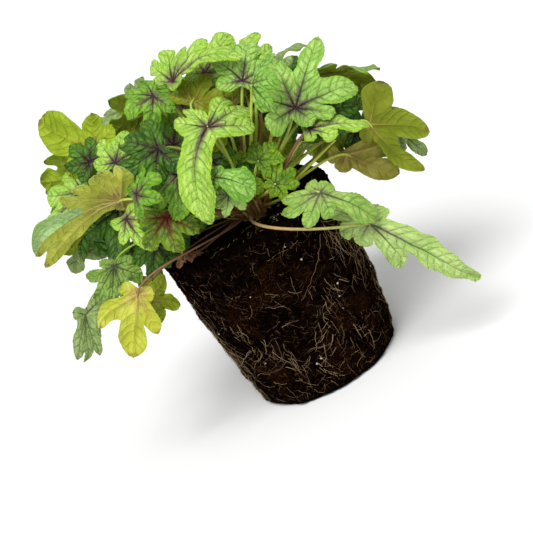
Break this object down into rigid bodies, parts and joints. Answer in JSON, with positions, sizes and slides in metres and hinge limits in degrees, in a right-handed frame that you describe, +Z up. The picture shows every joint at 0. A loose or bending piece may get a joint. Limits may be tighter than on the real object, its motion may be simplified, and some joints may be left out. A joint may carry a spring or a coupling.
{
  "type": "heuchera plant",
  "caption": "Heuchera plant lifted out of its pot: a mound of lobed, dark-veined leaves on long stalks over a crown and a bare, tapered root ball.",
  "frame": {"origin": "middle of the root ball's flat foot, which is mount base", "axes": "+Z up along the root ball's axis; +X to the right and -Y towards a viewer at the front; X is the plant's longest extent"},
  "size_m": [0.261, 0.1884, 0.2318],
  "materials": {
    "soil": "damp fibrous peat bound by fine tan roots, dull",
    "crown": "brown fibrous bark, dull",
    "leaf": "soft green leaf with dark purple veins, slight sheen",
    "leaf_dark": "deep green leaf with dark purple veins, slight sheen",
    "leaf_grey": "grey-green leaf, matt",
    "leaf_olive": "olive underside of a leaf with raised pale ribs, matt",
    "dead_leaf": "dry brown shrivelled leaf, matt"
  },
  "bodies": {
    "root": {"root_ball": "soil", "crown": "crown", "front_leaf_1": "leaf", "left_leaf_2": "leaf_olive", "right_leaf_4": "leaf", "right_leaf_8": "leaf_olive", "top_leaf_1": "leaf", "left_leaf_12": "leaf_olive", "right_leaf_14": "leaf", "right_leaf_15": "leaf", "left_leaf_1": "leaf_dark", "right_leaf_1": "leaf", "front_leaf_2": "leaf", "front_leaf_4": "leaf", "left_leaf_11": "leaf", "front_leaf_5": "leaf", "left_leaf_5": "leaf_olive", "right_leaf_9": "leaf_olive", "left_leaf_4": "leaf_dark", "top_leaf_2": "leaf", "right_leaf_6": "leaf", "right_leaf_3": "leaf", "left_leaf_9": "leaf", "front_leaf_3": "leaf", "front_leaf_7": "leaf", "front_leaf_6": "leaf", "left_leaf_3": "leaf", "right_leaf_2": "leaf_grey", "right_leaf_5": "leaf_dark", "left_leaf_14": "leaf_grey", "left_leaf_6": "leaf_olive", "left_leaf_7": "leaf_olive", "left_leaf_8": "leaf", "right_leaf_7": "leaf_olive", "top_leaf_3": "leaf", "top_leaf_7": "leaf_olive", "top_leaf_6": "leaf_grey", "top_leaf_5": "leaf_grey", "top_leaf_4": "leaf_olive", "left_leaf_10": "leaf_dark", "left_leaf_13": "leaf_olive", "dead_leaf": "dead_leaf", "left_leaf_15": "leaf_dark", "left_leaf_16": "leaf_grey", "front_leaf_8": "leaf", "right_leaf_11": "leaf_dark", "right_leaf_10": "leaf_grey", "right_leaf_12": "leaf_dark", "right_leaf_13": "leaf_olive", "back_leaf_1": "leaf", "back_leaf_2": "leaf", "back_leaf_3": "leaf_dark", "back_leaf_4": "leaf", "back_leaf_5": "leaf", "back_leaf_6": "leaf", "back_leaf_7": "leaf", "back_leaf_8": "leaf", "back_leaf_9": "leaf", "back_leaf_10": "leaf_dark"}
  },
  "joints": []
}
